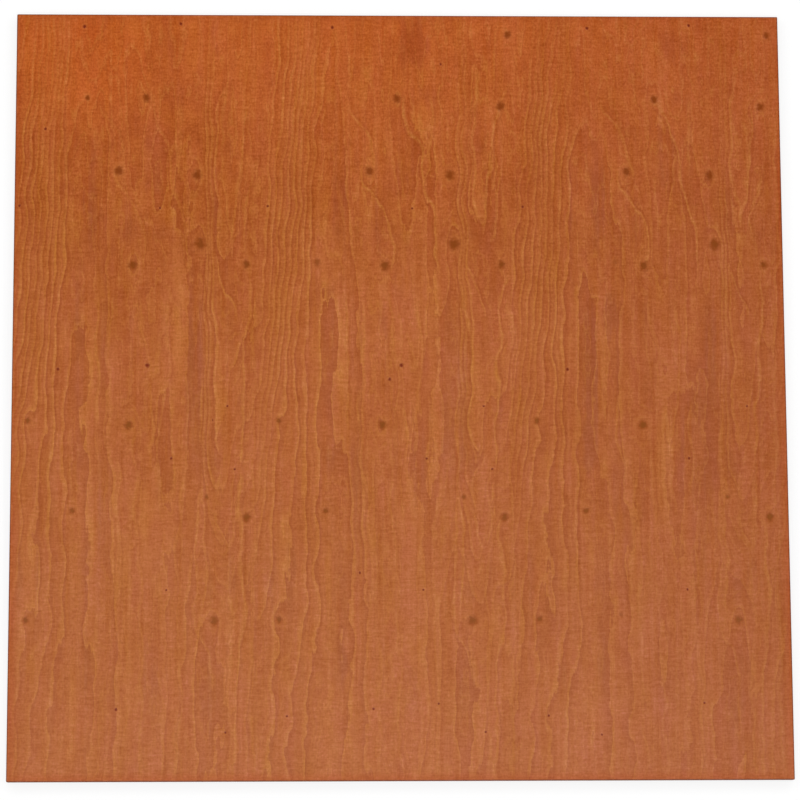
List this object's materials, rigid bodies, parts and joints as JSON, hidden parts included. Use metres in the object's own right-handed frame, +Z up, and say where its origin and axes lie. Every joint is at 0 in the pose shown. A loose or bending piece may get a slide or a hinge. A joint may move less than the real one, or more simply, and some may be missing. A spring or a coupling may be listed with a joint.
{
  "type": "plywood sheet",
  "caption": "Flat square sheet of softwood plywood with a stained and varnished rotary-cut face, square sawn edges and eased corners, used as building board.",
  "frame": {"origin": "centre of the back face, which lies on the floor", "axes": "+Z up through the thickness to the stained face, +Y along the face grain, +X across it"},
  "size_m": [1.22, 1.22, 0.018],
  "materials": {
    "stained_plywood": "satin"
  },
  "bodies": {
    "root": {"plywood_sheet": "stained_plywood"}
  },
  "joints": []
}
